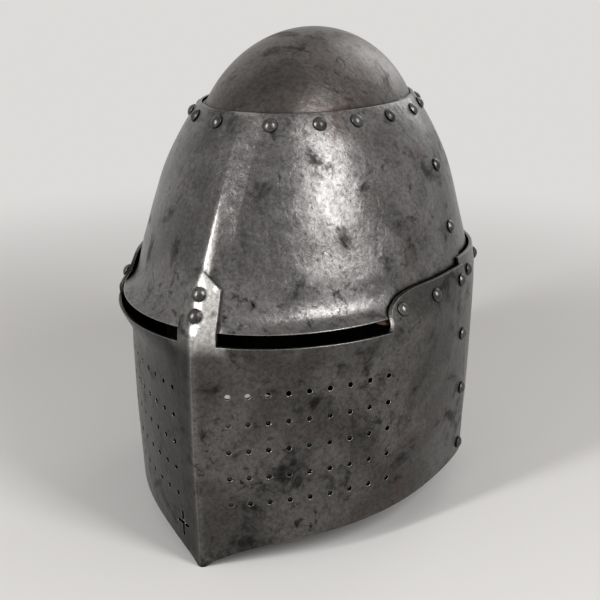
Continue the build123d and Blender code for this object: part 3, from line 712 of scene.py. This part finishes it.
strapShape = {
    "rows": 90,               # points along it, and across its section
    "across": 15,
    "squareness": 9,
    "endSquareness": 14,
    "probes": 9,              # places along it where the strap is measured
    "probe": 5.0,             # mm beside the middle, clear of the holes, where it is measured
    "topRoom": 2.0,           # mm from its top, and from the end of its fold, to the nearest of them
    "foldRoom": 3.0,
    "dropPoints": 40,         # of the way down, round the bar and home again
    "bendPoints": 24,
    "homePoints": 16,
    "foldEnd": 16.0,          # mm above the bar
    "foldGap": 0.15,
    "barRadius": 1.65,        # of the loop that the bar turns in
    "slotWidth": 3.4,         # for the prong
    "billetPoints": 60,
    "billetPoint": 9.0,       # length of the rounded point
    "pointPower": 0.62,
    "tip": 0.01,              # half the width that it ends with
    "firstHole": 46.0,        # mm above the ground
    "holePitch": 11.0,
    "holes": 4,
    "holeRadius": 2.0,
    "drill": 20.0,
    "sides": 28,              # of each hole
}


def strapLine(name, side, foot):
    # How far out the strap's outer face is, as a parabola of height fitted to rays through the CAD
    # solid, and the solid's box
    low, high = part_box(name)
    heights = np.linspace(foot, high.z - strapShape["topRoom"] * mm, strapShape["probes"])
    y = (low.y + high.y) / 2 + strapShape["probe"] * mm
    origins = np.stack([0 * heights, y + 0 * heights, heights], -1)
    outFace = castRays(name, origins, np.broadcast_to(np.array((side, 0.0, 0.0)), origins.shape))[1]
    return np.polyfit(heights, outFace, 2), low, high


def strapAlong(name, line, halfWidth, halfThickness, middleY, replaced):
    # A flat section carried along a line in the side plane, thinned to nothing at its two ends
    steps = np.concatenate([[0], np.cumsum(np.linalg.norm(np.diff(line, axis=0), axis=1))])
    along, taper = endTaper(strapShape["rows"], strapShape["endSquareness"])
    at = (along + 1) / 2 * steps[-1]
    place, ahead, behind = (
        np.stack([np.interp(at + off, steps, line[:, k]) for k in range(2)], -1)
        for off in (0, mm / 4, -mm / 4)
    )
    tangent = (ahead - behind) / np.linalg.norm(ahead - behind, axis=1)[:, None]
    normal = np.stack([-tangent[:, 1], tangent[:, 0]], -1)
    across, through = sectionAcross(strapShape["across"], strapShape["squareness"])
    off = halfThickness * taper[:, None] * through
    points = np.stack([
        place[:, None, 0] + normal[:, None, 0] * off,
        middleY + halfWidth(place[:, 1])[:, None] * across,
        place[:, None, 1] + normal[:, None, 1] * off,
    ], -1)
    uv = np.stack([points[..., 1], at[:, None] + 0 * off], -1)
    return makePiece(name, points[None], uv[None], strapLeather, replaced)


def cutFrom(piece, cutters):
    # Takes closed cutter shapes out of a piece: each is a matrix for a unit cylinder or cube
    mesh = bpy.data.meshes.new("cutter")
    built = bmesh.new()
    for kind, matrix in cutters:
        if kind == "hole":
            bmesh.ops.create_cone(built, cap_ends=True, segments=strapShape["sides"],
                                  radius1=1, radius2=1, depth=1, matrix=matrix)
        else:
            bmesh.ops.create_cube(built, size=1, matrix=matrix)
    built.to_mesh(mesh)
    built.free()
    cutter = bpy.data.objects.new("cutter", mesh)
    bpy.context.scene.collection.objects.link(cutter)
    cut = piece.modifiers.new("cut", "BOOLEAN")
    cut.object, cut.operation, cut.solver = cutter, "DIFFERENCE", "EXACT"
    bpy.context.view_layer.update()
    piece.data = bpy.data.meshes.new_from_object(piece.evaluated_get(bpy.context.evaluated_depsgraph_get()))
    piece.modifiers.clear()
    bpy.data.objects.remove(cutter)


def buckleStrap(bar):
    # Down, half a circle round the buckle's bar, and up again: the way home eases from the circle to a
    # line that lies against the strap. Gives half the strap's width and thickness
    foldEnd = strapShape["foldEnd"] * mm
    curve, low, high = strapLine("buckle_strap", 1, bar[2] + foldEnd + strapShape["foldRoom"] * mm)
    half = (high.y - low.y) / 2
    loop = strapShape["barRadius"] * mm
    halfThickness = (curve @ np.array((bar[2] ** 2, bar[2], 1)) - bar[0] - loop) / 2
    down = np.linspace(high.z, bar[2], strapShape["dropPoints"])
    drop = np.stack([np.polyval(curve, down) - halfThickness, down], -1)
    turn = np.linspace(0, -math.pi, strapShape["bendPoints"])[1:]
    bend = (loop + halfThickness) * np.stack([np.cos(turn), np.sin(turn)], -1) + np.array((bar[0], bar[2]))
    up = np.linspace(0, 1, strapShape["homePoints"])[1:]
    rest = np.polyval(curve, bar[2] + up * foldEnd) - 3 * halfThickness - strapShape["foldGap"] * mm
    ease = np.clip(up * 2, 0, 1) ** 2 * (3 - 2 * np.clip(up * 2, 0, 1))
    home = np.stack([bend[-1, 0] * (1 - ease) + rest * ease, bar[2] + up * foldEnd], -1)
    line = np.concatenate([drop, bend, home])
    strap = strapAlong(
        "folded_buckle_strap", line, lambda z: half + 0 * z, halfThickness, bar[1], ["buckle_strap"])
    reach = 4 * (loop + 2 * halfThickness)
    slot = Matrix.Translation(bar) @ Matrix.Diagonal((reach, strapShape["slotWidth"] * mm, reach, 1))
    cutFrom(strap, [("slot", slot)])
    return half, halfThickness


def billetStrap(middleY, half, halfThickness):
    # Hangs straight down the far side to a rounded point, with a row of holes for the prong
    point = strapShape["billetPoint"] * mm
    curve, low, high = strapLine("billet_strap", -1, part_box("billet_strap")[0].z + point)
    heights = np.linspace(low.z, high.z, strapShape["billetPoints"])
    line = np.stack([-(np.polyval(curve, heights) - halfThickness), heights], -1)

    def narrowed(z):
        # Half the width: a power of the height within the point, so that it is rounded
        share = np.clip((z - low.z) / point, 0, 1) ** strapShape["pointPower"]
        return half * share + strapShape["tip"] * mm

    strap = strapAlong("pierced_billet_strap", line, narrowed, halfThickness, middleY, ["billet_strap"])
    along = Matrix.Rotation(math.pi / 2, 4, "Y")
    radius = strapShape["holeRadius"] * mm
    size = Matrix.Diagonal((radius, radius, strapShape["drill"] * mm, 1))
    holes = []
    for number in range(strapShape["holes"]):
        z = (strapShape["firstHole"] + number * strapShape["holePitch"]) * mm
        holes.append(("hole", Matrix.Translation((-np.polyval(curve, z), middleY, z)) @ along @ size))
    cutFrom(strap, holes)


buckleBar = next(joint for joint in frame["joints"] if joint["name"] == "buckle_swing")["pos_m"]
billetStrap(buckleBar[1], *buckleStrap(buckleBar))
print("chin straps made")


view = {                      # degrees, metres, and the lens in mm
    "azimuth": 24.6,
    "elevation": 18.5,
    "distance": 0.7333,
    "target": (0, 0.008, 0.1345),
    "lens": 60,
    "nearest": 0.01,
}


def aimed(kind, name, azimuth, elevation, distance, target):
    # An object that stands on a sphere round a target and looks at it
    turn, rise = math.radians(azimuth), math.radians(elevation)
    back = np.array((math.sin(turn) * math.cos(rise), -math.cos(turn) * math.cos(rise), math.sin(rise)))
    made = bpy.data.objects.new(name, kind)
    made.location = np.array(target) + distance * back
    made.rotation_euler = (math.pi / 2 - rise, 0, turn)
    bpy.context.scene.collection.objects.link(made)
    return made


lens = bpy.data.cameras.new("camera")
lens.lens = view["lens"]
lens.clip_start = view["nearest"]
bpy.context.scene.camera = aimed(
    lens, "camera", view["azimuth"], view["elevation"], view["distance"], view["target"])

lamps = {                     # azimuth, elevation, distance, size across and up, watts
    "keyLamp": (71, 34, 1.3, 0.32, 0.8, 11),
    "ridgeLamp": (-24, 22, 1.5, 0.14, 1.0, 18),
    "rearLamp": (170, 30, 1.6, 0.6, 0.9, 3),
}
for name, (azimuth, elevation, distance, across, up, power) in lamps.items():
    lamp = bpy.data.lights.new(name, "AREA")
    lamp.shape = "RECTANGLE"
    lamp.size, lamp.size_y, lamp.energy = across, up, power
    aimed(lamp, name, azimuth, elevation, distance, view["target"])

stage = {
    "backdrop": "#dddbd9",    # the pale tone that floor and backdrop share
    "floorPaint": "#d3d1cf",
    "floorRoughness": 0.9,
    "ambient": 0.45,          # how much light the surroundings give
    "reach": 40,              # metres
    "fadeFrom": 0.35,         # where the painted floor begins to blend into the backdrop
    "fadeTo": 1.1,
}


def seenRay(tree):
    # One for rays that show the stage itself: to the camera, or by way of metal or glass
    path = addNode(tree, "LightPath").outputs
    seen = addNode(tree, "Math", {0: path["Is Camera Ray"], 1: path["Is Glossy Ray"]}, operation="MAXIMUM")
    seen = addNode(tree, "Math", {0: seen.outputs[0], 1: path["Is Transmission Ray"]}, operation="MAXIMUM")
    return seen.outputs[0]


world = bpy.data.worlds.new("studio")
bpy.context.scene.world = world
world.use_nodes = True
surround = world.node_tree
surround.nodes.clear()
strength = addNode(surround, "MapRange", {
    "Value": seenRay(surround), "To Min": stage["ambient"], "To Max": 1.0,
})
background = addNode(surround, "Background", {
    "Color": toLinear(stage["backdrop"]), "Strength": strength.outputs[0],
})
addNode(surround, "OutputWorld", {"Surface": background.outputs[0]})

# Matt off-white paint, rolled on: a plain pale tone that fades into the backdrop
floorMaterial, floorTree = newMaterial("paleFloorPaint")
fromMiddle = addNode(floorTree, "VectorMath", {
    0: addNode(floorTree, "TexCoord").outputs["Object"],
}, operation="LENGTH").outputs["Value"]
fade = addNode(floorTree, "MapRange", {
    "Value": fromMiddle, "From Min": stage["fadeFrom"], "From Max": stage["fadeTo"],
}, interpolation_type="SMOOTHSTEP").outputs[0]
fade = addNode(floorTree, "Math", {0: fade, 1: seenRay(floorTree)}, operation="MULTIPLY").outputs[0]
paint = addNode(floorTree, "BsdfPrincipled", {
    "Base Color": toLinear(stage["floorPaint"]), "Roughness": stage["floorRoughness"],
})
glow = addNode(floorTree, "Emission", {"Color": toLinear(stage["backdrop"]), "Strength": 1.0})
floorShader = addNode(floorTree, "MixShader", {0: fade, 1: paint.outputs[0], 2: glow.outputs[0]})
addNode(floorTree, "OutputMaterial", {"Surface": floorShader.outputs[0]})
corners = [(x * stage["reach"], y * stage["reach"], 0) for x, y in ((-1, -1), (1, -1), (1, 1), (-1, 1))]
floorMesh = bpy.data.meshes.new("floor")
floorMesh.from_pydata(corners, [], [(0, 1, 2, 3)])
floorMesh.materials.append(floorMaterial)
floor = bpy.data.objects.new("floor", floorMesh)
bpy.context.scene.collection.objects.link(floor)
bpy.context.scene.view_settings.view_transform = "Standard"
print("camera, lamps and floor set")
